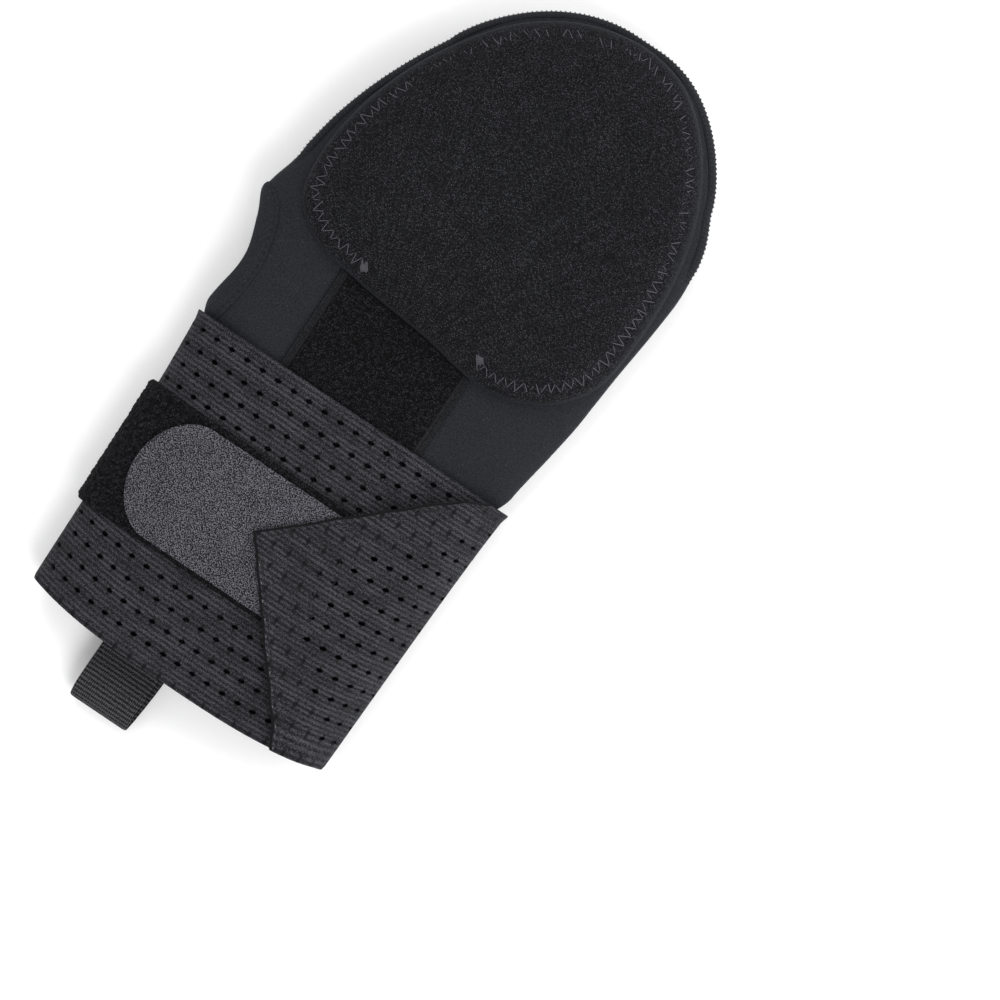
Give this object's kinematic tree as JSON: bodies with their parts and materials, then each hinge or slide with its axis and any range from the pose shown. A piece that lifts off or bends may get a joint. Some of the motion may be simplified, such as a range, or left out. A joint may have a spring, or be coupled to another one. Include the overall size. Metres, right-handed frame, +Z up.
{
  "type": "sliding mitt",
  "caption": "Padded sliding mitt lying flat: hollow neoprene body, foam pads above and below, thumb hole, perforated elastic wrist strap wound and fastened, webbing pull loop.",
  "frame": {"origin": "middle of the mitt's plan, on the surface that it lies on", "axes": "+Y towards the fingertips, +X towards the little finger's side, +Z up out of the side with the strap's fastened point"},
  "size_m": [0.1524, 0.3198, 0.0388],
  "materials": {
    "neoprene": "smooth jersey-faced neoprene, matt",
    "pad_knit": "brushed loop knit over foam, matt",
    "seam_thread": "overlocked polyester thread",
    "pile": "loop pile tape, deep matt",
    "elastic": "ribbed perforated elastic",
    "hook_knit": "fine knit face of a hook tab",
    "binding": "flat woven cloth",
    "webbing": "ribbed webbing"
  },
  "bodies": {
    "root": {"mitt_body": "neoprene", "edge_seam": "seam_thread", "upper_pad": "pad_knit", "lower_pad": "pad_knit", "upper_strip": "pile", "anchor_panel": "binding", "thumb_hem": "binding", "cuff_binding": "seam_thread", "wrap_strap": "elastic", "loop_patch": "pile", "hook_tab": "hook_knit", "pull_loop": "webbing"}
  },
  "joints": []
}
